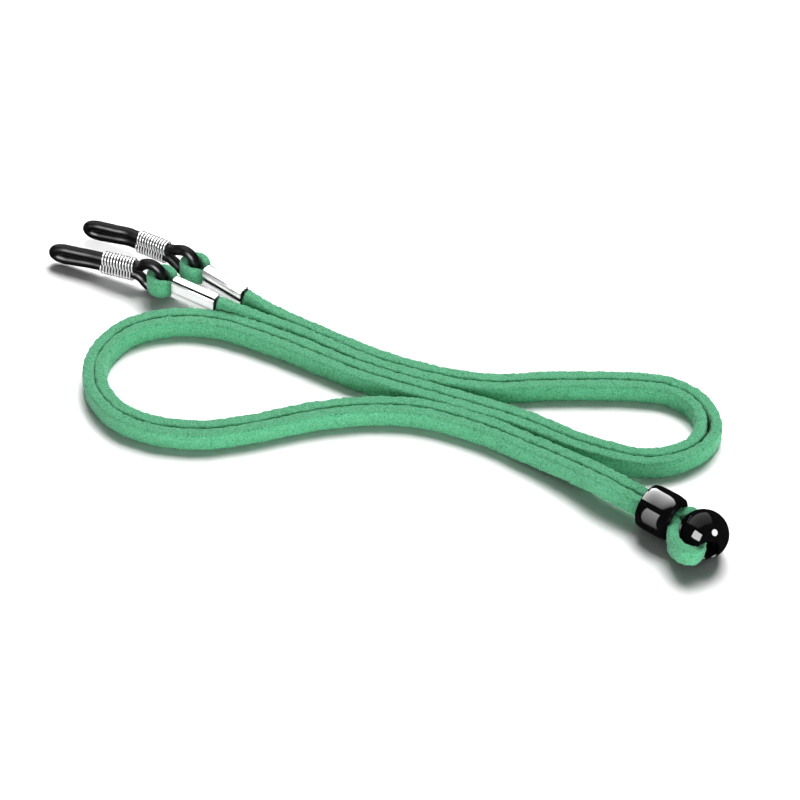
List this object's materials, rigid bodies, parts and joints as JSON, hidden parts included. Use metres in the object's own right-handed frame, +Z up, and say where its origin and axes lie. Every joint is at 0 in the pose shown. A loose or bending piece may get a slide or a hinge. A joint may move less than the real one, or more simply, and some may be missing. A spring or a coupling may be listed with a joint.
{
  "type": "eyeglasses strap",
  "caption": "Eyeglasses strap: flat suede cord folded in half through a ball bead, with a sliding barrel bead, crimped metal ferrules and rubber temple loops held by coil springs.",
  "frame": {"origin": "under the middle of the hard pieces' bounding box, on the surface that the strap lies on", "axes": "+X along the laid strap from its rubber temple loops towards its ball bead, +Z up, the strap lying on edge on z = 0"},
  "size_m": [0.1116, 0.0788, 0.0078],
  "materials": {
    "suede": "matt green faux suede with a short nap",
    "rubber": "satin black",
    "chrome": "bright plated",
    "bead": "high gloss black"
  },
  "bodies": {
    "strap_and_ferrules": {"strap": "suede", "left_ferrule": "chrome", "left_end_loop": "suede", "right_ferrule": "chrome", "right_end_loop": "suede"},
    "left_rubber": {"left_rubber_loop": "rubber"},
    "left_coil": {"left_coil_spring": "chrome"},
    "right_rubber": {"right_rubber_loop": "rubber"},
    "right_coil": {"right_coil_spring": "chrome"},
    "barrel": {"barrel_bead": "bead"},
    "ball": {"ball_bead": "bead"}
  },
  "joints": [
    {"name": "left_loop_swing", "type": "hinge", "parent": "strap_and_ferrules", "child": "left_rubber", "pos_m": [-0.0353, 0.0223, 0.0037], "axis": [0, 0, 1], "range_deg": [-5, 60]},
    {"name": "left_coil_slide", "type": "slide", "parent": "left_rubber", "child": "left_coil", "axis": [-0.9145, 0.3976, -0.0748], "range_m": [0, 0.0017]},
    {"name": "right_loop_swing", "type": "hinge", "parent": "strap_and_ferrules", "child": "right_rubber", "pos_m": [-0.0299, 0.0254, 0.0037], "axis": [0, 0, 1], "range_deg": [-75, 5]},
    {"name": "right_coil_slide", "type": "slide", "parent": "right_rubber", "child": "right_coil", "axis": [-0.8218, 0.5648, -0.0748], "range_m": [0, 0.0017]},
    {"name": "barrel_slide", "type": "slide", "parent": "strap_and_ferrules", "child": "barrel", "axis": [0.7955, -0.606, 0], "range_m": [-0.008, 0]},
    {"name": "ball_spin", "type": "hinge", "parent": "strap_and_ferrules", "child": "ball", "pos_m": [0.0516, -0.0355, 0.0039], "axis": [0.1045, -0.9945, 0], "continuous": true}
  ]
}
